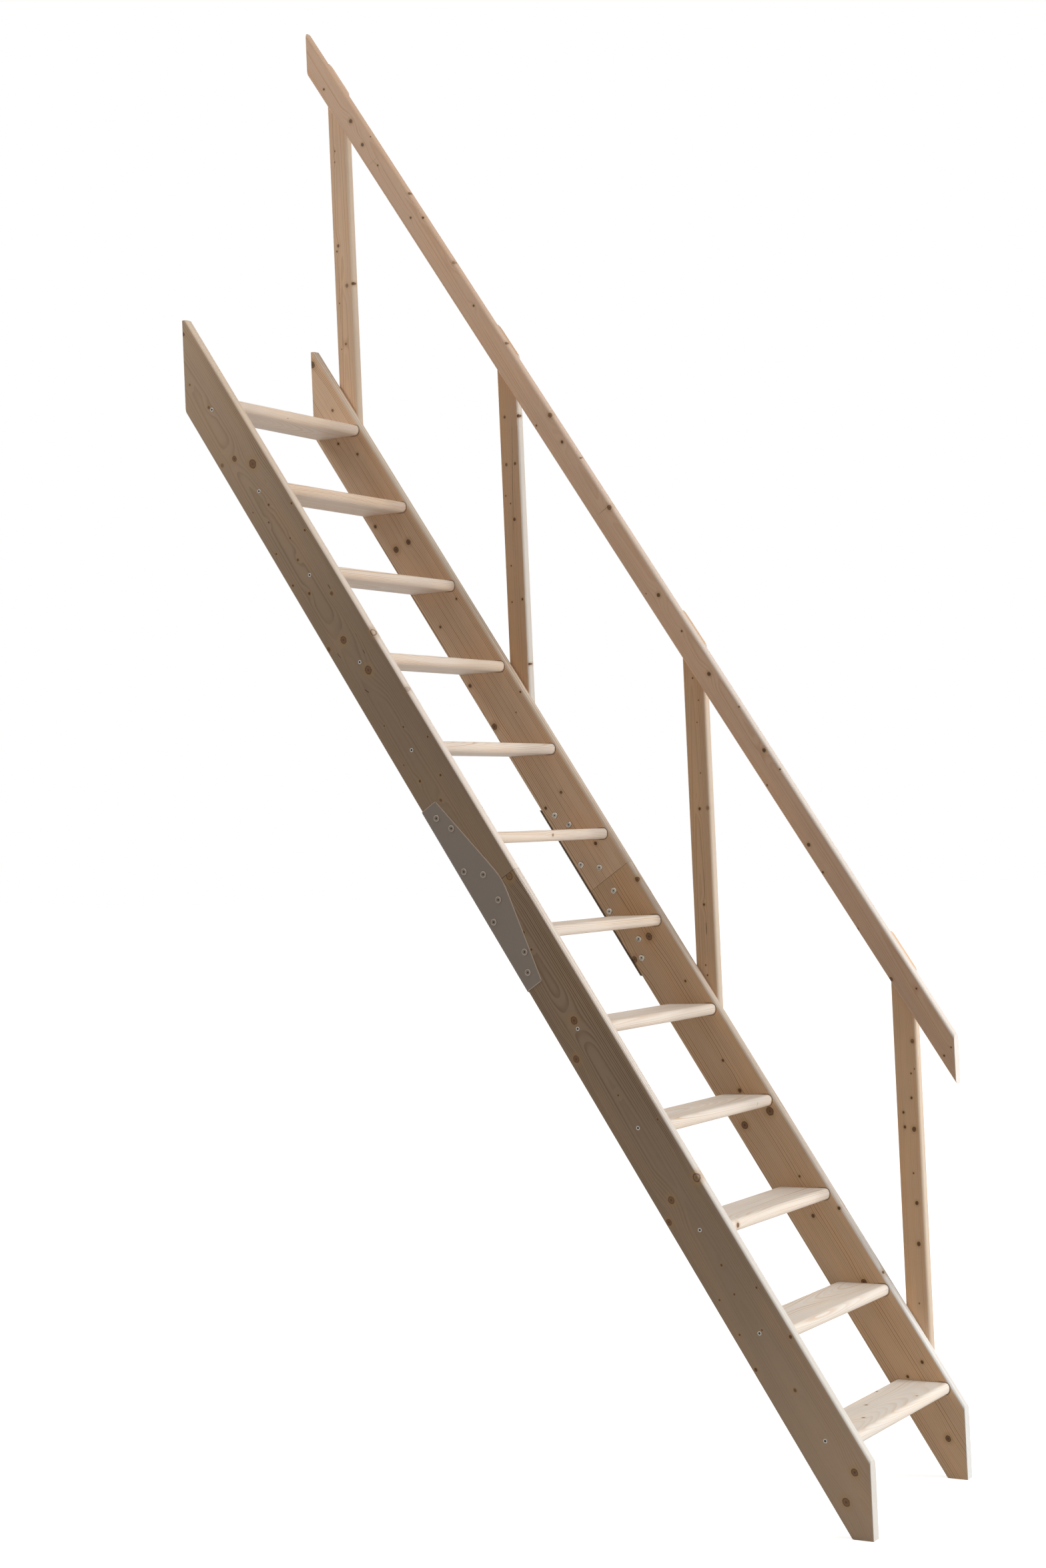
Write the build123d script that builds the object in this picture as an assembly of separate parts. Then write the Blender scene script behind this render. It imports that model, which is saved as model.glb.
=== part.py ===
from build123d import *
import math
import os

# Space-saving staircase in softwood: two stringers, twelve housed treads and a
# handrail on four posts. X is across the flight to the climber's right, Y is level
# in the direction of climbing and Z is up, in millimetres. The model is laid out
# from the lower floor, with X = 0 midway between the stringers. It is then moved so
# that its origin is the middle of the bearing face at the top of the left stringer.

# Flight
floor_rise = 3000.0      # lower floor to upper floor
rise_count = 13          # the last rise is the step onto the upper floor
going = 147.0            # level distance from one nosing to the next
clear_width = 544.0      # between the stringers

# Stringers
stringer_thickness = 28.0
stringer_width = 142.0
edge_radius = 8.0        # along the edges of stringers, rail and posts
nose_inset = 10.0        # stringer front edge to tread nosing, square to the slope
foot_length = 55.0       # level bearing of each foot on the floor
top_overrun = 5.0        # plumb cut at the top, beyond the last going
top_drop = 6.0           # stringer top below the upper floor
joint_station = 1718.0   # butt joint, measured up the back edge from the floor
joint_gap = 0.3

# Treads
tread_thickness = 28.0
tread_depth = 136.0
nose_radius = 12.0
rear_chamfer = 3.0
housing_depth = 10.0     # routed into the inner face of each stringer
housing_clearance = 0.3
nose_gap = 1.5           # room before the nosing, where the housing is half round

# Joint plates, folded from sheet
plate_thickness = 2.0
plate_length = 526.0
plate_end_height = 51.0
plate_end_flat = 6.0     # level run at each end before the plate starts to rise
plate_peak_height = 101.0
plate_peak_radius = 200.0
plate_corner_radius = 5.0
plate_bend_radius = 6.0  # inside the fold, tighter than the rounded board edge

# Connector bolts: distance from the joint, then height above the back edge
bolt_places = [(226.0, 29.0), (181.0, 50.0), (74.0, 19.0), (37.0, 61.0)]
bolt_diameter = 8.0
bolt_hole_diameter = 8.2
bolt_head_diameter = 16.0
bolt_head_height = 2.6
bolt_head_sides = 20     # the round heads are drawn with flats
bolt_shank_sides = 8

# Handrail and posts, on the climber's right
rail_height = 433.0      # stringer front edge to rail lower edge, square to the slope
rail_width = 65.0
rail_thickness = 28.0
rail_low_overhang = 108.5  # level, from the plumb cut to the first post
rail_high_overhang = 43.0  # level, from the last post to the plumb cut
post_thickness = 28.0
post_width = 63.0
first_post = 200.5       # front of the lowest post
post_spacing_1 = 537.0   # the bays differ a little, to clear the joint plate
post_spacing_2 = 523.5
post_spacing_3 = 521.0
post_foot_inset = 9.0    # foot above the stringer's back edge, square to the slope
post_top_inset = 9.0     # top below the rail's upper edge, square to the slope

# Lines of the side view that everything else hangs on
rise = floor_rise / rise_count
tread_count = rise_count - 1
pitch = math.atan2(rise, going)
slope = rise / going
inner_x = clear_width / 2
outer_x = inner_x + stringer_thickness
nosing_y = going - (rise - tread_thickness / 2) / slope
front_y = nosing_y - nose_inset / math.sin(pitch)
back_y = front_y + stringer_width / math.sin(pitch)
rail_low_y = front_y - rail_height / math.sin(pitch)
rail_high_y = rail_low_y - rail_width / math.sin(pitch)
foot_front = back_y - foot_length
top_plumb = rise_count * going + top_overrun
top_level = floor_rise - top_drop
post_fronts = [first_post]
for spacing in (post_spacing_1, post_spacing_2, post_spacing_3):
    post_fronts.append(post_fronts[-1] + spacing)
rail_start = post_fronts[0] - rail_low_overhang
rail_end = post_fronts[-1] + post_width + rail_high_overhang
along = Vector(0, math.cos(pitch), math.sin(pitch))
square_up = Vector(0, -math.sin(pitch), math.cos(pitch))


def height_on(line_y, y):
    """Height at y of the sloping line that meets the floor at line_y."""
    return (y - line_y) * slope


def side_board(outline, x_low, thickness):
    """A board with this outline in the side view, from x_low towards +X."""
    face = make_face(Polyline(*outline, close=True))
    return extrude(Plane.YZ.offset(x_low) * face, thickness)


def round_edges_along(board, direction):
    edges = [edge for edge in board.edges() if abs(edge.tangent_at(0.5).dot(direction)) > 0.999]
    return fillet(edges, edge_radius)


def back_edge_point(station, height):
    """Side-view point at a station up the back edge and a height square to it."""
    return Vector(0, back_y, 0) + along * station + square_up * height


# Treads and their housings, each section with its nosing at X = 0 and its top at Y = 0
def tread_section():
    board = Pos(tread_depth / 2, -tread_thickness / 2) * Rectangle(tread_depth, tread_thickness)
    board = fillet(board.vertices().group_by(Axis.X)[0], nose_radius)
    return chamfer(board.vertices().group_by(Axis.X)[-1], rear_chamfer)


def housing_section():
    """Half round in front and square behind, a little larger than the tread."""
    radius = tread_thickness / 2 + housing_clearance
    straight = tread_depth + nose_gap + housing_clearance - radius
    middle = Pos(radius - nose_gap, -tread_thickness / 2)
    return middle * (Circle(radius) + Pos(straight / 2, 0) * Rectangle(straight, 2 * radius))


def at_nosing(number, x):
    """Side-view plane at x, with its origin above the nosing of this tread."""
    return Plane(origin=(x, number * going, number * rise), x_dir=(0, 1, 0), z_dir=(1, 0, 0))


def tread(number):
    end_x = inner_x + housing_depth
    return extrude(at_nosing(number, -end_x) * tread_section(), 2 * end_x)


def housing(number):
    return extrude(at_nosing(number, inner_x) * housing_section(), housing_depth)


# Bolts through the joint plate and the stringer
def bolt_points():
    points = []
    for reach, height in bolt_places:
        points.append(back_edge_point(joint_station + reach, height))
        points.append(back_edge_point(joint_station - reach, height))
    return points


def prism_along_x(section, point, x_low, x_high):
    plane = Plane(origin=(x_low, point.Y, point.Z), x_dir=(0, 1, 0), z_dir=(1, 0, 0))
    return extrude(plane * section, x_high - x_low)


def bolt_holes(x_low, x_high):
    hole = Circle(bolt_hole_diameter / 2)
    return [prism_along_x(hole, point, x_low, x_high) for point in bolt_points()]


def bolt(point):
    """A low head on the plate, another on the inner face and the shank between."""
    plate_face = outer_x + plate_thickness
    head = RegularPolygon(bolt_head_diameter / 2, bolt_head_sides)
    shank = RegularPolygon(bolt_diameter / 2, bolt_shank_sides)
    outer_head = prism_along_x(head, point, plate_face, plate_face + bolt_head_height)
    inner_head = prism_along_x(head, point, inner_x - bolt_head_height, inner_x)
    return outer_head + inner_head + prism_along_x(shank, point, inner_x, plate_face)


# Stringers, drawn as the right one and mirrored for the left
def whole_stringer():
    outline = [
        (foot_front, 0),
        (back_y, 0),
        (top_plumb, height_on(back_y, top_plumb)),
        (top_plumb, top_level),
        (front_y + top_level / slope, top_level),
        (foot_front, height_on(front_y, foot_front)),
    ]
    board = round_edges_along(side_board(outline, inner_x, stringer_thickness), along)
    housings = [housing(number) for number in range(1, tread_count + 1)]
    return board - housings - bolt_holes(inner_x, outer_x)


def stringer_half(board, up_slope):
    """One length of a stringer, up_slope being +1 above its square butt joint or -1 below."""
    point = back_edge_point(joint_station + up_slope * joint_gap / 2, 0)
    cut = Plane(origin=point, x_dir=(1, 0, 0), z_dir=along * up_slope)
    return split(board, bisect_by=cut, keep=Keep.TOP)


# Joint plate of the right stringer
def plate_outline():
    """House-shaped side view, from the joint along X and up from the back edge along Y."""
    half = plate_length / 2
    shoulder = half - plate_end_flat
    outline = [
        (-half, -plate_thickness),
        (half, -plate_thickness),
        (half, plate_end_height),
        (shoulder, plate_end_height),
        (0, plate_peak_height),
        (-shoulder, plate_end_height),
        (-half, plate_end_height),
    ]
    face = make_face(Polyline(*outline, close=True))
    face = fillet(face.vertices().sort_by(Axis.Y)[-1], plate_peak_radius)
    low_x = face.vertices().group_by(Axis.X)[0].sort_by(Axis.Y)[-1]
    high_x = face.vertices().group_by(Axis.X)[-1].sort_by(Axis.Y)[-1]
    return fillet([low_x, high_x], plate_corner_radius)


def rounded_heel(width, height, corner, radius):
    """A rectangle from (corner, corner), rounded at that corner."""
    area = Pos(corner + width / 2, corner + height / 2) * Rectangle(width, height)
    heel = area.vertices().sort_by(lambda vertex: vertex.X + vertex.Y)[0]
    return fillet(heel, radius)


def plate_section():
    """The fold, with its web along Y, its flange along X and its heel at the origin."""
    width = stringer_thickness + plate_thickness
    height = plate_peak_height + plate_thickness
    outside = rounded_heel(width, height, 0, plate_bend_radius + plate_thickness)
    return outside - rounded_heel(width, height, plate_thickness, plate_bend_radius)


def joint_plate():
    """Web on the outer face of the stringer, with its flange folded under the back edge."""
    web_x = outer_x + plate_thickness
    low_end = back_edge_point(joint_station - plate_length / 2, -plate_thickness)
    fold_plane = Plane(origin=(web_x, low_end.Y, low_end.Z), x_dir=(-1, 0, 0), z_dir=along)
    fold = extrude(fold_plane * plate_section(), plate_length)
    middle = back_edge_point(joint_station, 0)
    side_plane = Plane(origin=(web_x, middle.Y, middle.Z), x_dir=along, z_dir=(1, 0, 0))
    blank = extrude(side_plane * plate_outline(), -(stringer_thickness + plate_thickness))
    return (fold & blank) - bolt_holes(inner_x, web_x)


# Handrail and posts
def handrail():
    outline = [
        (rail_start, height_on(rail_low_y, rail_start)),
        (rail_end, height_on(rail_low_y, rail_end)),
        (rail_end, height_on(rail_high_y, rail_end)),
        (rail_start, height_on(rail_high_y, rail_start)),
    ]
    return round_edges_along(side_board(outline, outer_x - rail_thickness, rail_thickness), along)


def post(front):
    """A post on the outer faces of stringer and rail, both of its ends cut to the slope."""
    back = front + post_width
    foot_y = back_y - post_foot_inset / math.sin(pitch)
    top_y = rail_high_y + post_top_inset / math.sin(pitch)
    outline = [
        (front, height_on(foot_y, front)),
        (back, height_on(foot_y, back)),
        (back, height_on(top_y, back)),
        (front, height_on(top_y, front)),
    ]
    return round_edges_along(side_board(outline, outer_x, post_thickness), Vector(0, 0, 1))


# Assembly
stringer = whole_stringer()
side_pieces = {
    "stringer_upper": [stringer_half(stringer, 1)],
    "stringer_lower": [stringer_half(stringer, -1)],
    "joint_plate": [joint_plate()],
    "plate_bolts": [bolt(point) for point in bolt_points()],
}
pieces = {}
for name, solids in side_pieces.items():
    pieces["right_" + name] = solids
    pieces["left_" + name] = [mirror(solid, about=Plane.YZ) for solid in solids]
for number in range(1, tread_count + 1):
    pieces["tread_%02d" % number] = [tread(number)]
pieces["handrail"] = [handrail()]
for number, front in enumerate(post_fronts, start=1):
    pieces["post_%d" % number] = [post(front)]

bearing_x = -(inner_x + outer_x) / 2
bearing_z = (height_on(back_y, top_plumb) + top_level) / 2
to_origin = Pos(-bearing_x, -top_plumb, -bearing_z)
os.makedirs("parts", exist_ok=True)
for name, solids in pieces.items():
    placed = [to_origin * solid for solid in solids]
    shape = placed[0] if len(placed) == 1 else Compound(children=placed)
    export_step(shape, "parts/" + name + ".step")
print("pieces", len(pieces), "pitch", round(math.degrees(pitch), 2))
print("bearing face above the floor", round(bearing_z, 2))
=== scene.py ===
import math
import bpy
from mathutils import Euler, Matrix, Vector


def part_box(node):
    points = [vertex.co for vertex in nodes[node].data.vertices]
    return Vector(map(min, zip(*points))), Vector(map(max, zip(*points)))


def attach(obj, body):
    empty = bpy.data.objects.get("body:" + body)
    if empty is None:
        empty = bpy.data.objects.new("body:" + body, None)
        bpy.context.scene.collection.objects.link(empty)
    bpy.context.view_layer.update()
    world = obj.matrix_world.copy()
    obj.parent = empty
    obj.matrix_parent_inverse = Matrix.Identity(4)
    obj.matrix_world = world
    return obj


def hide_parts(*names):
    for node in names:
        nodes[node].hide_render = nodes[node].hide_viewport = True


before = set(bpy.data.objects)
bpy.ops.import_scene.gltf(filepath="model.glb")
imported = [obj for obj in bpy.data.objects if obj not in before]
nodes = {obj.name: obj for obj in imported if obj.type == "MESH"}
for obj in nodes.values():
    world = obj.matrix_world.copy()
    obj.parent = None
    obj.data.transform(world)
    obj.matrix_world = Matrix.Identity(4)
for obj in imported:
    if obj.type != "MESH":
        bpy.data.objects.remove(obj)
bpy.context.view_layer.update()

mm = 0.001
treadCount = 12
leftFace, rightFace = -1.0, 1.0  # which way a face looks along X


# lines of the flight, read from the model

def boxMiddle(name):
    low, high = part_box(name)
    return (low + high) / 2


firstTread, lastTread = boxMiddle("tread_01"), boxMiddle("tread_12")
pitch = math.atan2(lastTread.z - firstTread.z, lastTread.y - firstTread.y)
goingStep = (lastTread.y - firstTread.y) / (treadCount - 1)
riseStep = (lastTread.z - firstTread.z) / (treadCount - 1)
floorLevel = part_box("left_stringer_lower")[0].z
middleX = firstTread.x
upSlope = Vector((0, math.cos(pitch), math.sin(pitch)))
offSlope = Vector((0, -math.sin(pitch), math.cos(pitch)))  # square to the slope, upwards


# how far a board reaches, square to the slope: its lower and its upper long edge
def reaches(name):
    found = [v.co.dot(offSlope) for v in nodes[name].data.vertices]
    return min(found), max(found)


# where the board's lower long edge would meet the floor
def lowEdge(name):
    y = (floorLevel * math.cos(pitch) - reaches(name)[0]) / math.sin(pitch)
    return Vector((0, y, floorLevel))


def onSlope(start, station, height):
    return start + upSlope * station * mm + offSlope * height * mm


backEdge = lowEdge("left_stringer_lower")
railEdge = lowEdge("handrail")
print("flight read: pitch", round(math.degrees(pitch), 2), "rise", round(riseStep / mm, 1))


# small helpers for node trees

def feed(tree, value, socket):
    if isinstance(value, bpy.types.NodeSocket):
        tree.links.new(value, socket)
    elif value is not None:
        socket.default_value = value


def calc(tree, operation, *values, clamp=False):
    node = tree.nodes.new("ShaderNodeMath")
    node.operation = operation
    node.use_clamp = clamp
    for value, socket in zip(values, node.inputs):
        feed(tree, value, socket)
    return node.outputs[0]


# a short name for each sum: times(tree, a, b) is a * b, and scaled(tree, a, b, c) is a * b + c
def nameSum(operation):
    return lambda tree, *values, **options: calc(tree, operation, *values, **options)


times = nameSum("MULTIPLY")
scaled = nameSum("MULTIPLY_ADD")
over = nameSum("DIVIDE")
plus = nameSum("ADD")
minus = nameSum("SUBTRACT")
most = nameSum("MAXIMUM")
least = nameSum("MINIMUM")


# the sum of two squares
def squares(tree, first, second):
    return plus(tree, times(tree, first, first), times(tree, second, second))


def ramp(tree, value, fromLow, fromHigh, toLow=0.0, toHigh=1.0):
    node = tree.nodes.new("ShaderNodeMapRange")
    node.interpolation_type = "SMOOTHSTEP"
    labels = ("Value", "From Min", "From Max", "To Min", "To Max")
    for label, each in zip(labels, (value, fromLow, fromHigh, toLow, toHigh)):
        feed(tree, each, node.inputs[label])
    return node.outputs[0]


# the same, between two lengths that are given in mm
def band(tree, value, ends, toLow=0.0, toHigh=1.0):
    return ramp(tree, value, ends[0] * mm, ends[1] * mm, toLow, toHigh)


def blendColour(tree, factor, first, second, how="MIX"):
    node = tree.nodes.new("ShaderNodeMix")
    node.data_type = "RGBA"
    node.blend_type = how
    feed(tree, factor, node.inputs[0])
    feed(tree, first, node.inputs[6])
    feed(tree, second, node.inputs[7])
    return node.outputs[2]


def joinVector(tree, x, y, z):
    node = tree.nodes.new("ShaderNodeCombineXYZ")
    for value, socket in zip((x, y, z), node.inputs):
        feed(tree, value, socket)
    return node.outputs[0]


def splitVector(tree, vector):
    node = tree.nodes.new("ShaderNodeSeparateXYZ")
    feed(tree, vector, node.inputs[0])
    return list(node.outputs)


# squeezes a pattern across the grain, so that it looks drawn out along it
def drawnOut(tree, parts, through, across):
    x, y, z = parts
    return joinVector(tree, times(tree, x, through), y, times(tree, z, across))


def shadeColour(tree, tone, shade):
    return blendColour(tree, 1.0, tone, joinVector(tree, shade, shade, shade), "MULTIPLY")


def objectPlace(tree):
    return tree.nodes.new("ShaderNodeTexCoord").outputs["Object"]


# turn brings the board's grain to Y and its width to Z; start is the board's own zero
def boardSpace(tree, place, turn, start):
    mapping = tree.nodes.new("ShaderNodeMapping")
    mapping.inputs["Rotation"].default_value = turn
    mapping.inputs["Location"].default_value = -(Euler(turn).to_matrix() @ start)
    tree.links.new(place, mapping.inputs["Vector"])
    return mapping.outputs[0]


fineBump = {"strength": 0.12, "distance": 0.0003}


def addBump(tree, shader, height):
    bump = tree.nodes.new("ShaderNodeBump")
    bump.inputs["Strength"].default_value = fineBump["strength"]
    bump.inputs["Distance"].default_value = fineBump["distance"]
    tree.links.new(height, bump.inputs["Height"])
    tree.links.new(bump.outputs[0], shader.inputs["Normal"])


def noise(tree, vector, scale, seed, detail=2.0, roughness=0.5):
    node = tree.nodes.new("ShaderNodeTexNoise")
    node.noise_dimensions = "4D"
    feed(tree, vector, node.inputs["Vector"])
    feed(tree, seed, node.inputs["W"])
    node.inputs["Scale"].default_value = scale
    node.inputs["Detail"].default_value = detail
    node.inputs["Roughness"].default_value = roughness
    return node.outputs[0]


def newGroup(name, inputs, outputs):
    tree = bpy.data.node_groups.new(name, "ShaderNodeTree")
    for label, kind, value in inputs:
        socket = tree.interface.new_socket(name=label, in_out="INPUT", socket_type=kind)
        if value is not None:
            socket.default_value = value
    for label, kind in outputs:
        tree.interface.new_socket(name=label, in_out="OUTPUT", socket_type=kind)
    start = tree.nodes.new("NodeGroupInput")
    end = tree.nodes.new("NodeGroupOutput")
    return tree, start.outputs, end.inputs


def placeGroup(tree, group, **values):
    node = tree.nodes.new("ShaderNodeGroup")
    node.node_tree = group
    for label, value in values.items():
        feed(tree, value, node.inputs[label])
    return node.outputs


number, colour, vector = "NodeSocketFloat", "NodeSocketColor", "NodeSocketVector"


# wood: board coordinates are X through the board, Y along its grain and Z across it

knotShape = {                # shares of a knot's radius, but for the heart
    "squeeze": 0.84,         # a knot is a little longer along the grain than across it
    "outline": (0.3, -0.13),  # how far its outline strays, and a part taken off to keep its size
    "core": (1.05, 0.85),    # where the brown core ends and where it is full
    "coreDepth": 1.25,       # times the knot's darkness, up to 1
    "rimAt": 0.88,
    "rimWidth": 0.26,
    "rimDepth": 0.85,
    "yearRings": 19.0,       # how close its own year rings lie
    "ringEdge": (-0.2, 1.0),
    "ringDepth": 0.4,
    "heart": 0.0040,         # radius of its darkest middle; pin knots are dark right through
    "heartFull": 0.3,
    "halo": (2.6, 0.95),
    "flowSqueeze": 0.4,      # the rings of the board flow round the knot in a long oval
    "flowReach": 2.4,
    "flowFade": 1.9,
    "flowPush": 0.65,
}


# One knot is a branch through the board. It adds itself to the marks of the knots before it.
def makeKnotGroup():
    tree, given, result = newGroup(
        "knot",
        [("Vector", vector, None), ("Ragged", number, 0.5), ("Along", number, 0.0), ("Across", number, 0.0),
         ("Radius", number, 0.005), ("Darkness", number, 0.8), ("Lean", number, 0.12),
         ("Depth", number, 0.06), ("Filled", number, 1.0), ("Core", number, 0.0), ("Rim", number, 0.0),
         ("Halo", number, 0.0), ("Pull", number, 0.0)],
        [("Core", number), ("Rim", number), ("Halo", number), ("Pull", number)])
    shape, radius, darkness = knotShape, given["Radius"], given["Darkness"]
    x, y, z = splitVector(tree, given["Vector"])
    alongBy = minus(tree, minus(tree, y, given["Along"]), times(tree, x, given["Lean"]))
    acrossBy = minus(tree, z, given["Across"])
    inward = times(tree, over(tree, x, given["Depth"]), radius)  # a shallow knot tapers off
    square = squares(tree, times(tree, alongBy, shape["squeeze"]), acrossBy)
    reach = over(tree, calc(tree, "SQRT", scaled(tree, inward, inward, square)), radius)
    reach = plus(tree, reach, scaled(tree, given["Ragged"], *shape["outline"]))
    filled = times(tree, times(tree, darkness, shape["coreDepth"], clamp=True), given["Filled"])
    core = ramp(tree, reach, *shape["core"], 0.0, filled)
    waves = calc(tree, "SINE", times(tree, reach, shape["yearRings"]))
    yearRings = ramp(tree, waves, *shape["ringEdge"], 0.0, shape["ringDepth"])
    fromRim = calc(tree, "ABSOLUTE", minus(tree, reach, shape["rimAt"]))
    rim = ramp(tree, fromRim, shape["rimWidth"], 0.0, 0.0, times(tree, darkness, shape["rimDepth"]))
    heartEdge = least(tree, over(tree, shape["heart"], radius), shape["core"][0])
    heartFull = times(tree, heartEdge, shape["heartFull"])
    heart = ramp(tree, reach, heartEdge, heartFull, 0.0, times(tree, darkness, given["Filled"]))
    rim = most(tree, most(tree, rim, heart), times(tree, core, yearRings))
    halo = ramp(tree, reach, *shape["halo"], 0.0, darkness)
    wide = calc(tree, "SQRT", squares(tree, times(tree, alongBy, shape["flowSqueeze"]), acrossBy))
    wide = over(tree, wide, times(tree, radius, shape["flowReach"]))
    bulge = times(tree, ramp(tree, wide, shape["flowFade"], 0.0), times(tree, radius, shape["flowPush"]))
    for value, label in ((core, "Core"), (rim, "Rim"), (halo, "Halo")):
        feed(tree, most(tree, value, given[label]), result[label])
    feed(tree, plus(tree, bulge, given["Pull"]), result["Pull"])
    return tree


markShape = {"fray": (0.8, -0.4), "edge": (1.15, 0.55)}


# A resin pocket, a scratch or the line of a glued joint: a thin dark ellipse with a frayed edge
def makeMarkGroup():
    tree, given, result = newGroup(
        "darkMark",
        [("Vector", vector, None), ("Ragged", number, 0.5), ("Along", number, 0.0), ("Across", number, 0.0),
         ("Half Along", number, 0.01), ("Half Across", number, 0.001), ("Slant", number, 0.0),
         ("Darkness", number, 0.8), ("Marks", number, 0.0)],
        [("Marks", number)])
    y, z = splitVector(tree, given["Vector"])[1:]
    alongBy = minus(tree, y, given["Along"])
    acrossBy = minus(tree, minus(tree, z, given["Across"]), times(tree, alongBy, given["Slant"]))
    first = over(tree, alongBy, given["Half Along"])
    second = over(tree, acrossBy, given["Half Across"])
    reach = calc(tree, "SQRT", squares(tree, first, second))
    reach = plus(tree, reach, scaled(tree, given["Ragged"], *markShape["fray"]))
    mark = ramp(tree, reach, *markShape["edge"], 0.0, given["Darkness"])
    feed(tree, most(tree, mark, given["Marks"]), result["Marks"])
    return tree


housingGapShade = {"nearNose": (30, 50), "fullAt": 0.5}  # mm from a tread's middle, and a share of the rim's width


# Painted shade in the gap round the front of each housing's nose; treads repeat up the slope
def makeHousingGapShadeGroup():
    tree, given, result = newGroup(
        "housingGapShade",
        [("Vector", vector, None), ("First Y", number, 0.0), ("First Z", number, 0.0),
         ("Going", number, 0.147), ("Rise", number, 0.23077), ("Half Depth", number, 0.068),
         ("Half Thickness", number, 0.014), ("Nose Radius", number, 0.012), ("Width", number, 0.0034)],
        [("Rim", number)])
    y, z = splitVector(tree, given["Vector"])[1:]
    going, rise, nose = given["Going"], given["Rise"], given["Nose Radius"]
    fromY = minus(tree, y, given["First Y"])
    fromZ = minus(tree, z, given["First Z"])
    upward = plus(tree, times(tree, fromY, going), times(tree, fromZ, rise))
    step = calc(tree, "ROUND", over(tree, upward, squares(tree, going, rise)))
    step = least(tree, most(tree, step, 0.0), treadCount - 1.0)
    byY = calc(tree, "ABSOLUTE", minus(tree, fromY, times(tree, step, going)))
    byZ = calc(tree, "ABSOLUTE", minus(tree, fromZ, times(tree, step, rise)))
    overY = most(tree, minus(tree, byY, minus(tree, given["Half Depth"], nose)), 0.0)
    overZ = most(tree, minus(tree, byZ, minus(tree, given["Half Thickness"], nose)), 0.0)
    away = minus(tree, calc(tree, "SQRT", squares(tree, overY, overZ)), nose)
    towardNose = minus(tree, times(tree, step, going), fromY)
    nearNose = band(tree, towardNose, housingGapShade["nearNose"])
    rim = ramp(tree, away, given["Width"], times(tree, given["Width"], housingGapShade["fullAt"]))
    feed(tree, times(tree, rim, nearNose), result["Rim"])
    return tree


ringShape = {
    "swayDrawn": (3.0, 4.0),     # how much each pattern is squeezed through the board and across it
    "swayDepth": (1.6, 3.0),     # how fast the pith line sways through the board, and how strongly
    "swayAcross": (1.1, 2.0),    # the same across it
    "nextSeed": 11.3,
    "lateFrom": (0.42, 0.86),    # share of a ring where its dark late wood begins and is full
    "toneFrom": (0.1, 0.9),      # and where it begins to darken gently
    "lateEnd": (1.0, 0.95),
    "lateShare": 0.75,
    "chance": (1.6, 0.7, 0.3),   # some rings are dark, others faint
    "flatFade": (0.3, 0.55),     # a ring cut flat spreads out and fades
    "veilDrawn": (8.0, 12.0),
    "veilScale": 2.6,
    "veil": (0.3, 0.6, 0.5, 1.15),  # lines come and go along the board
    "fibreDrawn": (60.0, 60.0),
    "fibreScale": 12.0,
    "fibreDetail": (4.0, 0.65),
    "driftDrawn": (6.0, 6.0),
    "driftScale": 3.2,
    "hairDrawn": (26.0, 26.0),
    "hairScale": 34.0,
    "streak": (0.70, 0.79),
}


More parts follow.
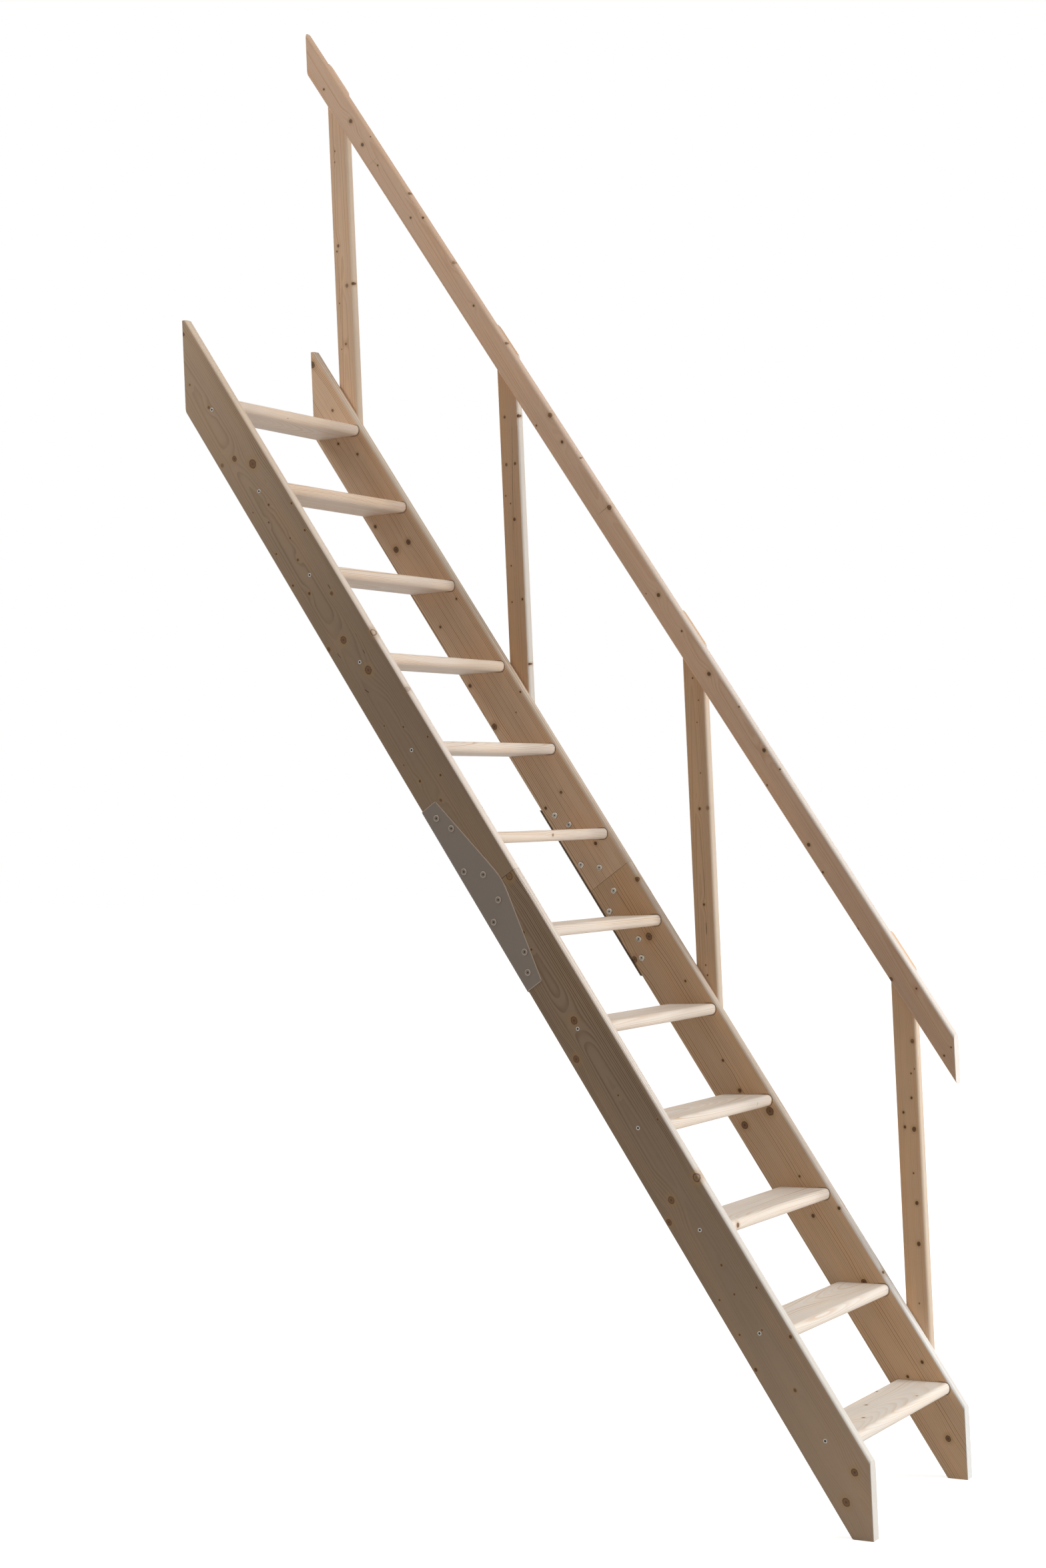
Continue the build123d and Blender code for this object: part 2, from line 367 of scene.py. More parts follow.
# Growth rings are rough cylinders about a pith line, so faces, edges and cut ends agree
def makeRingGroup():
    tree, given, result = newGroup(
        "growthRings",
        [("Vector", vector, None), ("Pith Depth", number, 0.04), ("Pith Across", number, 0.0),
         ("Pith Tilt", number, 0.01), ("Ring Width", number, 0.003), ("Waviness", number, 0.006),
         ("Seed", number, 0.0), ("Pull", number, 0.0)],
        [("Late Wood", number), ("Fibre", number), ("Drift", number), ("Streak", number)])
    shape, seed = ringShape, given["Seed"]
    parts = splitVector(tree, given["Vector"])
    x, y, z = parts
    lazy = drawnOut(tree, parts, *shape["swayDrawn"])
    otherSeed = plus(tree, seed, shape["nextSeed"])
    swayDepth = minus(tree, noise(tree, lazy, shape["swayDepth"][0], seed, 1.0), 0.5)
    swayAcross = minus(tree, noise(tree, lazy, shape["swayAcross"][0], otherSeed, 1.0), 0.5)
    depth = plus(tree, minus(tree, x, given["Pith Depth"]), times(tree, y, given["Pith Tilt"]))
    depth = scaled(tree, times(tree, swayDepth, given["Waviness"]), shape["swayDepth"][1], depth)
    across = minus(tree, z, given["Pith Across"])
    across = scaled(tree, times(tree, swayAcross, given["Waviness"]), shape["swayAcross"][1], across)
    radius = plus(tree, calc(tree, "SQRT", squares(tree, depth, across)), given["Pull"])
    ring = over(tree, radius, given["Ring Width"])
    share = calc(tree, "FRACT", ring)
    gentle = ramp(tree, share, *shape["toneFrom"], 0.0, 1.0 - shape["lateShare"])
    lateWood = scaled(tree, ramp(tree, share, *shape["lateFrom"]), shape["lateShare"], gentle)
    lateWood = times(tree, lateWood, ramp(tree, share, *shape["lateEnd"]))
    chance = tree.nodes.new("ShaderNodeTexWhiteNoise")
    chance.noise_dimensions = "2D"
    feed(tree, joinVector(tree, calc(tree, "FLOOR", ring), seed, 0.0), chance.inputs["Vector"])
    power, gain, floor = shape["chance"]
    luck = scaled(tree, calc(tree, "POWER", chance.outputs["Value"], power), gain, floor)
    lateWood = times(tree, lateWood, luck)
    steep = over(tree, calc(tree, "ABSOLUTE", across), radius)
    lateWood = times(tree, lateWood, ramp(tree, steep, 0.0, *shape["flatFade"], 1.0))
    veil = noise(tree, drawnOut(tree, parts, *shape["veilDrawn"]), shape["veilScale"], otherSeed, 1.0)
    lateWood = times(tree, lateWood, ramp(tree, veil, *shape["veil"]))
    fine = drawnOut(tree, parts, *shape["fibreDrawn"])
    fibre = noise(tree, fine, shape["fibreScale"], seed, *shape["fibreDetail"])
    drift = noise(tree, drawnOut(tree, parts, *shape["driftDrawn"]), shape["driftScale"], otherSeed, 2.0)
    hair = noise(tree, drawnOut(tree, parts, *shape["hairDrawn"]), shape["hairScale"], otherSeed, 1.0)
    streak = ramp(tree, hair, *shape["streak"])
    for value, label in ((lateWood, "Late Wood"), (fibre, "Fibre"), (drift, "Drift"), (streak, "Streak")):
        feed(tree, value, result[label])
    return tree


timberShades = {
    "warmth": (0.42, 0.72, 0.0, 0.55),
    "linesOnPale": -0.35,        # what the painted highlight takes off the lines
    "fibre": (0.24, 0.88),       # how much each pattern changes the brightness, and from what
    "drift": (0.22, 0.89),
    "streak": (-0.12, 1.0),
    "halo": 0.55,
    "rim": 0.9,
    "roughness": 0.62,
    "lateRoughness": -0.08,
    "knotRoughness": -0.14,
    "lateHeight": 0.5,
    "fibreHeight": 0.3,
    "markHeight": -0.8,
}


# Colours the rings, fibres and knots of planed, untreated softwood, with painted highlight along lit edges
# and painted shade
def makeTimberGroup():
    tree, given, result = newGroup(
        "timberFinish",
        [("Late Wood", number, 0.0), ("Fibre", number, 0.5), ("Drift", number, 0.5), ("Streak", number, 0.0),
         ("Core", number, 0.0), ("Rim", number, 0.0), ("Halo", number, 0.0), ("Marks", number, 0.0),
         ("Pale", number, 0.0), ("Early Colour", colour, (0.7, 0.53, 0.36, 1)),
         ("Late Colour", colour, (0.5, 0.33, 0.19, 1)), ("Warm Colour", colour, (0.74, 0.5, 0.3, 1)),
         ("Pale Colour", colour, (0.78, 0.68, 0.56, 1)), ("Knot Colour", colour, (0.16, 0.07, 0.03, 1)),
         ("Rim Colour", colour, (0.06, 0.03, 0.015, 1)), ("Halo Colour", colour, (0.5, 0.3, 0.14, 1)),
         ("Painted Shade", number, 0.0), ("Grain Strength", number, 0.7)],
        [("Colour", colour), ("Roughness", number), ("Height", number)])
    shades = timberShades
    warmth = ramp(tree, given["Drift"], *shades["warmth"])
    tone = blendColour(tree, warmth, given["Early Colour"], given["Warm Colour"])
    # painted highlight: a pale tone laid over the wood along lit edges and ends
    tone = blendColour(tree, given["Pale"], tone, given["Pale Colour"])
    lines = times(tree, given["Late Wood"], given["Grain Strength"])
    lines = times(tree, lines, scaled(tree, given["Pale"], shades["linesOnPale"], 1.0))
    tone = blendColour(tree, lines, tone, given["Late Colour"])
    shade = scaled(tree, given["Fibre"], *shades["fibre"])
    shade = times(tree, shade, scaled(tree, given["Drift"], *shades["drift"]))
    shade = times(tree, shade, scaled(tree, given["Streak"], *shades["streak"]))
    # painted shade along the board, kept off the painted highlight
    paintedShade = times(tree, given["Painted Shade"], minus(tree, 1.0, given["Pale"]))
    shade = times(tree, shade, minus(tree, 1.0, paintedShade))
    tone = shadeColour(tree, tone, shade)
    tone = blendColour(tree, times(tree, given["Halo"], shades["halo"]), tone, given["Halo Colour"])
    tone = blendColour(tree, given["Core"], tone, given["Knot Colour"])
    tone = blendColour(tree, times(tree, given["Rim"], shades["rim"]), tone, given["Rim Colour"])
    tone = blendColour(tree, given["Marks"], tone, given["Rim Colour"])
    roughness = scaled(tree, given["Late Wood"], shades["lateRoughness"], shades["roughness"])
    roughness = scaled(tree, given["Core"], shades["knotRoughness"], roughness)
    fibres = times(tree, given["Fibre"], shades["fibreHeight"])
    height = scaled(tree, given["Late Wood"], shades["lateHeight"], fibres)
    height = scaled(tree, given["Marks"], shades["markHeight"], height)
    for value, label in ((tone, "Colour"), (roughness, "Roughness"), (height, "Height")):
        feed(tree, value, result[label])
    return tree


knotGroup = makeKnotGroup()
markGroup = makeMarkGroup()
ringGroup = makeRingGroup()
housingGapShadeGroup = makeHousingGapShadeGroup()
timberGroup = makeTimberGroup()

# tones of the early wood, the late wood, the warm parts and the pale painted highlight along a lit edge
# the left stringer's tones are darker and greyer than the right's, partly its own tone and partly painted
# shade
shadedGreyTones = {
    "early": (0.50, 0.365, 0.25, 1), "late": (0.215, 0.125, 0.062, 1),
    "warm": (0.54, 0.37, 0.235, 1), "pale": (0.86, 0.775, 0.69, 1),
}
rosyTones = {
    "early": (0.73, 0.52, 0.34, 1), "late": (0.40, 0.22, 0.11, 1),
    "warm": (0.77, 0.50, 0.29, 1), "pale": (0.77, 0.77, 0.75, 1),
}
blushTones = {
    "early": (0.87, 0.64, 0.45, 1), "late": (0.49, 0.285, 0.155, 1),
    "warm": (0.90, 0.61, 0.385, 1), "pale": (0.64, 0.55, 0.46, 1),
}
railTones = {
    "early": (0.79, 0.56, 0.40, 1), "late": (0.56, 0.30, 0.145, 1),
    "warm": (0.81, 0.54, 0.355, 1), "pale": (0.76, 0.72, 0.67, 1),
}
postTones = {
    "early": (0.72, 0.51, 0.335, 1), "late": (0.42, 0.21, 0.09, 1),
    "warm": (0.76, 0.48, 0.27, 1), "pale": (0.68, 0.57, 0.455, 1),
}
knotTones = {"Knot Colour": (0.23, 0.115, 0.048, 1), "Rim Colour": (0.045, 0.020, 0.009, 1),
             "Halo Colour": (0.50, 0.30, 0.135, 1)}  # the same on every board

knotDepths = {
    "onTread": 1.0,      # treads are marked on their top
    "onNose": 0.03,
    "shallow": 0.018,
    "through": 0.07,
    "smallRadius": 5,    # in mm: small knots, and those that break out at an edge, do not go through
    "edgeReach": 24,
}


def knotDepth(look, across, radius):
    if "paintedHighlightFrom" not in look:
        return knotDepths["onTread"]
    atEdge = across > look["paintedHighlightFrom"][0] - knotDepths["edgeReach"]
    shallow = radius < knotDepths["smallRadius"] or atEdge
    return knotDepths["shallow"] if shallow else knotDepths["through"]


def newMaterial(name):
    material = bpy.data.materials.new(name)
    material.use_nodes = True
    return material, material.node_tree, material.node_tree.nodes["Principled BSDF"]


timberSurface = {"gloss": 0.3, "ragged": 170.0, "housingShadeDepth": 0.6, "endHighlight": (2, 1), "endHighlightRings": -0.75}


# knots and marks are places on the board's face; a look may also have some on a tread's nose
def timber(name, turn, start, look, knots=(), marks=()):
    material, tree, shader = newMaterial(name)
    place = objectPlace(tree)
    board = boardSpace(tree, place, turn, start)
    through, along, across = splitVector(tree, board)
    facing = joinVector(tree, across, along, through)  # the same board seen from the front
    ragged = noise(tree, board, timberSurface["ragged"], 3.0)
    branch = {"Core": 0.0, "Rim": 0.0, "Halo": 0.0, "Pull": 0.0}
    allKnots = [(board, knotDepth(look, knot[1], knot[2]), knot) for knot in knots]
    allKnots += [(facing, knotDepths["onNose"], knot) for knot in look.get("noseKnots", ())]
    for seen, depth, (station, height, radius, darkness, *filled) in allKnots:
        found = placeGroup(tree, knotGroup, Vector=seen, Ragged=ragged, Along=station * mm,
                           Across=height * mm, Radius=radius * mm, Darkness=darkness, Depth=depth,
                           Filled=filled[0] if filled else 1.0, **branch)
        branch = {label: found[label] for label in branch}
    dark = 0.0
    allMarks = [(board, mark) for mark in marks] + [(facing, mark) for mark in look.get("noseMarks", ())]
    for seen, (station, height, halfAlong, halfAcross, slant, darkness) in allMarks:
        sizes = {"Half Along": halfAlong * mm, "Half Across": halfAcross * mm, "Marks": dark}
        dark = placeGroup(tree, markGroup, Vector=seen, Ragged=ragged, Along=station * mm, Across=height * mm,
                          Slant=slant, Darkness=darkness, **sizes)["Marks"]
    growth = {
        "Pith Depth": look["pith"][0] * mm, "Pith Across": look["pith"][1] * mm, "Pith Tilt": look["tilt"],
        "Ring Width": look["ring"] * mm, "Waviness": look["waviness"] * mm, "Seed": look["seed"],
    }
    rings = placeGroup(tree, ringGroup, Vector=board, Pull=branch["Pull"], **growth)
    strength = look["strength"]
    if "calm" in look:  # fainter grain before the second station, down to the given strength at the first
        first, second, faint = look["calm"]
        strength = band(tree, along, (first, second), faint, strength)
    if "edgeGrain" in look:  # and stronger from the first height to the second, by the given factor
        first, second, factor = look["edgeGrain"]
        strength = times(tree, band(tree, across, (first, second), 1.0, factor), strength)
    pale = 0.0
    if "paintedHighlightFrom" in look:  # painted highlight: a pale band along the edge that the lamps light
        pale = band(tree, across, look["paintedHighlightFrom"])
    if "paintedHighlightEnd" in look:  # and a painted highlight on the plumb cut that faces the climber and the lamps, where it weakens the rings
        behind = minus(tree, splitVector(tree, place)[1], look["paintedHighlightEnd"])
        endHighlight = band(tree, behind, timberSurface["endHighlight"])
        pale = most(tree, pale, endHighlight)
        strength = times(tree, scaled(tree, endHighlight, timberSurface["endHighlightRings"], 1.0), strength)
    # painted shade in the gap round the front of each tread's nose, on the inner face only; it joins the dark
    # marks
    if "housedFrom" in look:
        steps = {"First Y": firstTread.y, "First Z": firstTread.z, "Going": goingStep, "Rise": riseStep}
        rim = placeGroup(tree, housingGapShadeGroup, Vector=place, **steps)["Rim"]
        inner = band(tree, through, look["housedFrom"], 0.0, timberSurface["housingShadeDepth"])
        dark = most(tree, times(tree, rim, inner), dark)
    paintedShade = 0.0
    if "paintedShade" in look:  # painted shade: the wood is darker from the first station on, by the given share at the second
        first, second, share = look["paintedShade"]
        paintedShade = band(tree, along, (first, second), 0.0, share)
    paintedHighlightColour = look["tones"].get("pale")
    if "paintedHighlightShift" in look:  # along the board the painted highlight turns to another tone, between two stations
        first, second, other = look["paintedHighlightShift"]
        paintedHighlightColour = blendColour(tree, band(tree, along, (first, second)), paintedHighlightColour, other)
    finish = {
        "Late Wood": rings["Late Wood"], "Early Colour": look["tones"]["early"],
        "Late Colour": look["tones"]["late"], "Warm Colour": look["tones"]["warm"],
        "Pale Colour": paintedHighlightColour, "Painted Shade": paintedShade, "Grain Strength": strength,
    }
    surface = placeGroup(tree, timberGroup, Core=branch["Core"], Rim=branch["Rim"], Halo=branch["Halo"],
                         Marks=dark, Pale=pale, Fibre=rings["Fibre"], Drift=rings["Drift"],
                         Streak=rings["Streak"], **finish, **knotTones)
    tree.links.new(surface["Colour"], shader.inputs["Base Color"])
    tree.links.new(surface["Roughness"], shader.inputs["Roughness"])
    addBump(tree, shader, surface["Height"])
    shader.inputs["Specular IOR Level"].default_value = timberSurface["gloss"]
    return material


def dress(name, material):
    for slot in nodes[name].material_slots:
        slot.material = material


slopeTurn = (-pitch, 0, 0)
treadTurn = (math.pi / 2, 0, math.pi / 2)
postTurn = (-math.pi / 2, 0, 0)

# Knots: station up the board, height above its lower edge, radius, all in mm, darkness, and sometimes
# how much of it is filled. Marks: station, height, half length, half width, slant, darkness.
stringerBoards = {
    "left_stringer_upper": {
        "look": {
            "tones": shadedGreyTones, "seed": 2.0, "pith": (-60, 58), "tilt": 0.005, "ring": 2.7, "waviness": 2.2,
            "strength": 0.52, "calm": (2100, 2750, 0.38), "edgeGrain": (84, 116, 1.6),
            "paintedShade": (3200, 2300, 0.2), "paintedHighlightShift": (2100, 3350, (0.77, 0.63, 0.49, 1)),
            "paintedHighlightFrom": (136, 139), "housedFrom": (14, 20),
        },
        "marks": [
            (2410, 92, 8, 1, 0.05, 0.85), (2324, 42, 9, 1.4, -0.4, 0.9), (2447, 25, 10, 1, -0.15, 0.85),
            (2458, 98, 7, 0.8, 0, 0.4), (2608, 102, 9, 1.2, 0.05, 0.85), (2952, 100, 8, 0.7, 0, 0.4),
            (1718.3, 71, 0.6, 80, 0, 0.75),
        ],
        "knots": [
            (2025, 99, 3, 0.8), (1974, 64, 4, 0.5), (2048, 41, 3.2, 0.9), (2124, 123, 2.5, 0.8),
            (2186, 79, 2.5, 0.8), (2108, 25, 2, 0.7), (2222, 34, 2, 0.7), (2364, 76, 10, 0.7),
            (2471, 59, 9, 0.7), (2589, 98, 5, 0.6), (2631, 43, 4, 0.8), (2723, 64, 3.5, 0.6),
            (2679, 14, 3, 0.8), (2479, 8, 6, 0.6), (2433, 144, 9, 0.85, 0.1), (2257, 141, 6, 0.4, 0.5),
            (2771, 125, 3, 0.9), (2783, 77, 2.5, 0.6), (2777, 19, 2.5, 0.8), (2858, 47, 2.5, 0.7),
            (2853, 132, 3, 0.7), (2895, 73, 3, 0.8), (2910, 22, 2, 0.7), (3013, 94, 11, 0.75),
            (3061, 56, 7, 0.75), (3223, 68, 4, 0.6), (3072, 15, 5, 0.45), (3312, 54, 3, 0.5),
            (3434, 114, 5, 0.8),
        ],
    },
    "left_stringer_lower": {
        "look": {
            "tones": dict(shadedGreyTones, pale=(0.72, 0.69, 0.64, 1)), "seed": 5.0, "pith": (-55, 68),
            "tilt": 0.006, "ring": 2.7, "waviness": 2.4, "strength": 0.7, "calm": (600, 1250, 0.22),
            "edgeGrain": (84, 116, 1.9), "paintedShade": (100, 800, 0.22),
            "paintedHighlightShift": (500, 1500, (0.84, 0.76, 0.68, 1)), "paintedHighlightFrom": (136, 139), "housedFrom": (14, 20),
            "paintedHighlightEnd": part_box("left_stringer_lower")[0].y,
        },
        "marks": [(1578, 74, 4.5, 1.2, 0.1, 0.9), (1717.7, 71, 0.6, 80, 0, 0.75)],
        "knots": [
            (118, 94, 8, 0.75), (73, 37, 9, 0.7), (337, 71, 4, 0.6), (488, 77, 2, 0.7),
            (441, 131, 4, 0.8), (574, 121, 2.5, 0.7), (589, 63, 2.5, 0.7), (507, 21, 2.5, 0.7),
            (597, 22, 2.5, 0.7), (660, 73, 3, 0.7), (422, 11, 4, 0.8), (848, 47, 8, 0.7),
            (857, 134, 9, 0.95, 0.4), (809, 12, 7, 0.7), (1020, 125, 2.5, 0.7), (1121, 68, 2.2, 0.8),
            (1251, 21, 8, 0.7), (1329, 69, 9, 0.75), (1532, 68, 2.5, 0.9), (1578, 74, 3, 0.9),
            (1711, 119, 9, 0.95, 0.5),
        ],
    },
    "right_stringer_upper": {
        "look": {
            "tones": blushTones, "seed": 8.0, "pith": (-26, -12), "tilt": 0.003, "ring": 4.0, "waviness": 2.0,
            "strength": 1.0, "paintedHighlightShift": (1750, 2200, (0.72, 0.63, 0.52, 1)), "paintedHighlightFrom": (134, 138),
            "housedFrom": (14, 8),
        },
        "marks": [(1718.3, 71, 0.6, 80, 0, 0.45)],
        "knots": [
            (1813, 88, 4.5, 0.85), (1983, 80, 4, 0.6), (1976, 17, 4, 0.8), (2247, 13, 8, 0.75),
            (2383, 14, 5, 0.75), (2571, 30, 3.5, 0.7), (2602, 116, 3, 0.8), (2238, 90, 2, 0.5),
            (2275, 133, 3, 0.6), (2825, 82, 7, 0.8), (2833, 38, 8, 0.8), (2928, 20, 4.5, 0.8),
            (3130, 90, 4, 0.6), (3195, 56, 3.5, 0.9), (3284, 95, 4, 0.6), (3434, 115, 9, 0.8),
        ],
    },
    "right_stringer_lower": {
        "look": {
            "tones": rosyTones, "seed": 12.0, "pith": (-28, -16), "tilt": 0.003, "ring": 4.2, "waviness": 2.0,
            "strength": 1.0, "paintedHighlightShift": (300, 1050, (0.62, 0.53, 0.44, 1)), "paintedHighlightFrom": (134, 138),
            "housedFrom": (14, 8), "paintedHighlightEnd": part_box("right_stringer_lower")[0].y,
        },
        "marks": [(1717.7, 71, 0.6, 80, 0, 0.45), (1640, 68, 60, 2.5, -0.03, 0.25)],
        "knots": [
            (76, 59, 7, 0.8), (260, 107, 4, 0.85), (249, 53, 3.5, 0.85), (495, 86, 7, 0.8),
            (489, 146, 6, 0.7), (678, 134, 4, 0.8), (698, 62, 4.5, 0.85), (798, 87, 3, 0.85),
            (974, 112, 10, 0.8), (982, 31, 9, 0.85), (1061, 70, 5, 0.85), (1149, 74, 3.5, 0.9),
            (1525, 79, 9, 0.75), (1500, 8, 8, 0.75), (1373, 101, 3, 0.8), (1666, 136, 6, 0.75),
        ],
    },
}
for name, board in stringerBoards.items():
    start = Vector((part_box(name)[0].x, backEdge.y, backEdge.z))
    dress(name, timber(name + "_spruce", slopeTurn, start, board["look"], board["knots"], board["marks"]))
print("stringers dressed")

railBoard = {
    "look": {
        "tones": railTones, "seed": 21.0, "pith": (-34, 50), "tilt": 0.006, "ring": 2.0, "waviness": 3.0,
        "strength": 0.75, "paintedShade": (2300, 1250, 0.2), "paintedHighlightShift": (1300, 4200, (0.69, 0.48, 0.335, 1)),
        "paintedHighlightFrom": (56, 62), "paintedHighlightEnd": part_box("handrail")[0].y,
    },
    "marks": [(2878, 42, 0.8, 24, 0, 0.6), (4125, 28, 0.7, 26, 0, 0.35)],
    "knots": [
        (1213, 41, 2, 0.8), (1206, 14, 2.5, 0.9), (1378, 48, 2.5, 0.8), (1433, 5, 5, 0.8),
        (1583, 3, 3, 0.8), (1750, 7, 3, 0.7), (1828, 15, 4.5, 0.85), (2028, 60, 2, 0.9),
        (2016, 8, 2, 0.9), (2093, 52, 5, 0.85), (2224, 59, 2, 0.7), (2343, 39, 5, 0.85),
        (2480, 40, 2.5, 0.8), (2597, 40, 5, 0.85), (2622, 13, 1.5, 0.7), (2873, 57, 6, 0.7),
        (3035, 64, 2, 0.7), (3104, 46, 4, 0.85), (3186, 58, 6, 0.7), (3190, 10, 2.5, 0.7),
        (3432, 65, 4, 0.6), (3581, 45, 3, 0.85), (3720, 64, 5, 0.4), (3886, 60, 3, 0.85),
        (3913, 30, 3, 0.9), (3972, 65, 4, 0.7), (4105, 32, 2.5, 0.8), (4187, 27, 4.5, 0.9),
        (4187, 60, 1.5, 0.8), (4268, 36, 5.5, 0.9), (4404, 20, 3, 0.9),
    ],
}
start = Vector((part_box("handrail")[0].x, railEdge.y, railEdge.z))
dress("handrail", timber("handrail_spruce", slopeTurn, start,
                         railBoard["look"], railBoard["knots"], railBoard["marks"]))

# here the knots are measured up from the foot and back from the front face
postGrain = {"tilt": 0.008, "ring": 2.6, "waviness": 3.0, "strength": 0.6, "paintedHighlightFrom": (-7, -3)}
postBoards = {
    "post_1": {
        "look": dict(
            postGrain, seed=31.0, pith=(12, 18), tilt=0.012, ring=2.4, waviness=12.0, strength=1.0,
            tones=dict(postTones, late=(0.60, 0.32, 0.13, 1))),
        "marks": (),
        "knots": [
            (488, 20, 5, 0.8), (588, 20, 4.5, 0.8), (661, 25, 2, 0.8), (769, 18, 5.5, 0.8),
            (774, 42, 3.5, 0.85), (810, 44, 3, 0.9), (846, 21, 3, 0.9), (906, 19, 2, 0.9),
            (917, 10, 1.5, 0.9), (985, 12, 5, 0.6), (342, 26, 2, 0.6),
        ],
    },
    "post_2": {
        "look": dict(
            postGrain, seed=33.0, pith=(-20, -38),
            tones=dict(postTones, early=(0.67, 0.47, 0.305, 1), warm=(0.71, 0.45, 0.25, 1))),
        "marks": [(430, -27, 20, 1.4, 0, 0.7), (545, -27, 40, 1.2, 0, 0.35)],
        "knots": [
            (310, 30, 2, 0.9), (336, 34, 2, 0.7), (492, 31, 3, 0.9), (739, 31, 3.5, 0.8),
            (740, 8, 5, 0.35), (831, 24, 1.5, 0.7), (962, 27, 1.5, 0.7), (1019, 20, 1.5, 0.8),
            (1077, 34, 2, 0.8),
        ],
    },
    "post_3": {
        "look": dict(
            postGrain, seed=36.0, pith=(-30, 6), tilt=-0.005,
            tones=dict(postTones, early=(0.63, 0.425, 0.27, 1), warm=(0.67, 0.41, 0.22, 1),
                       pale=(0.76, 0.72, 0.66, 1))),
        "marks": [(825, -26.5, 178, 0.9, 0.0364, 0.55)],
        "knots": [
            (328, 1, 3, 0.8), (504, 12, 3, 0.9), (499, 45, 2, 0.8), (597, 43, 2, 0.8),
            (721, 26, 4, 0.9), (765, 36, 2, 0.8), (787, 50, 2, 0.7), (871, 17, 3.5, 0.9),
            (871, 44, 4, 0.6), (1000, 43, 3.5, 0.7), (998, 1, 4, 0.85),
        ],
    },
    "post_4": {
        "look": dict(
            postGrain, seed=39.0, pith=(-22, -34),
            tones=dict(postTones, early=(0.82, 0.585, 0.40, 1), warm=(0.85, 0.56, 0.34, 1),
                       pale=(0.72, 0.59, 0.46, 1))),
        "marks": [(594, -46, 106, 2.0, 0, 0.25)],
        "knots": [
            (453, 32, 3, 0.6), (440, 47, 1.5, 0.7), (570, 48, 1.5, 0.7), (616, 20, 5, 0.5),
            (619, 1, 4, 0.8), (717, 49, 2.5, 0.9), (732, 44, 4, 0.7), (1000, 42, 2, 0.7),
            (969, 44, 2, 0.6),
        ],
    },
}
for name, board in postBoards.items():
    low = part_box(name)[0]
    knots = [(up, -back, radius, darkness) for up, back, radius, darkness in board["knots"]]
    dress(name, timber(name + "_spruce", postTurn, low, board["look"], knots, board["marks"]))
print("handrail and posts dressed")

treadBoards = {
    "tones": {            # at the lowest tread, and below them those at the highest
        "early": (0.82, 0.77, 0.70, 1), "late": (0.62, 0.40, 0.225, 1), "warm": (0.84, 0.73, 0.60, 1),
    },
    "topTones": {
        "early": (0.83, 0.715, 0.61, 1), "late": (0.62, 0.38, 0.20, 1), "warm": (0.84, 0.68, 0.52, 1),
    },
    "pithDepths": (-90, -60, -110, -75, -95, -80, -64, -120, -52, -100, -24, -70),
    "pithAcross": (40, 90, 20, 70, 110, 60, 30, 95, 50, 80, 10, 65),
    "tilts": (0.03, -0.02, 0.002, 0.022, -0.035, 0.004, 0.05, -0.03, 0.02, -0.024, 0.0, 0.03),
    "ring": 3.2,
    "waviness": 16.0,
    "strengths": (0.6, 0.7, 0.8, 0.8, 0.8, 0.8, 0.7, 0.7, 0.8, 0.8, 1.7, 0.7),
    "knots": {1: [(149, 51, 4, 0.55), (269, 96, 4, 0.55), (397, 21, 3, 0.5), (406, 128, 3, 0.6)]},
    "noseKnots": {3: [(41, 15, 6, 0.75)], 7: [(274, 15, 3.6, 0.45)]},
    "noseMarks": {
        4: [(472, 14, 4.5, 1.3, 1.3, 0.6)],
        7: [(274, 15, 6, 1.0, 1.2, 0.5)],
        12: [(226, 6, 5.5, 1.0, 0, 0.55)],
    },
}
for index in range(treadCount):
    treadNumber = index + 1
    name = "tread_%02d" % treadNumber
    climbed = index / (treadCount - 1)
    look = {
        "seed": 50.0 + 3 * index,
        "pith": (treadBoards["pithDepths"][index], treadBoards["pithAcross"][index]),
        "tilt": treadBoards["tilts"][index],
        "ring": treadBoards["ring"],
        "waviness": treadBoards["waviness"],
        "tones": {label: [a + (b - a) * climbed for a, b in zip(tone, treadBoards["topTones"][label])]
                  for label, tone in treadBoards["tones"].items()},
        "strength": treadBoards["strengths"][index],
        "noseKnots": treadBoards["noseKnots"].get(treadNumber, ()),
        "noseMarks": treadBoards["noseMarks"].get(treadNumber, ()),
    }
    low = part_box(name)[0]
    dress(name, timber(name + "_spruce", treadTurn, low, look, treadBoards["knots"].get(treadNumber, ())))
print("treads dressed")


# joint plates: warm grey powder coat

plateCoat = {
    "colour": (0.31, 0.26, 0.215, 1), "roughness": 0.44, "gritRoughness": 0.12, "grit": 900.0,
    "cloud": (0.14, 0.93),
    "cloudScale": 9.0,
    "edgeHighlightLift": 1.2,         # painted highlight: how much brighter the plate is along its cut edges
    "edgeHighlightWidth": (2.2, 0.7),
    "middle": 1718.0,        # station of its middle
    "halfLength": 263.0,
    "heights": (101.0, 51.0),  # at the middle and at the ends
    "endRun": 6.0,           # the upper edge runs level for this much at each end
    "peakRun": 19.0,         # and is rounded over about this much each side of its peak
}


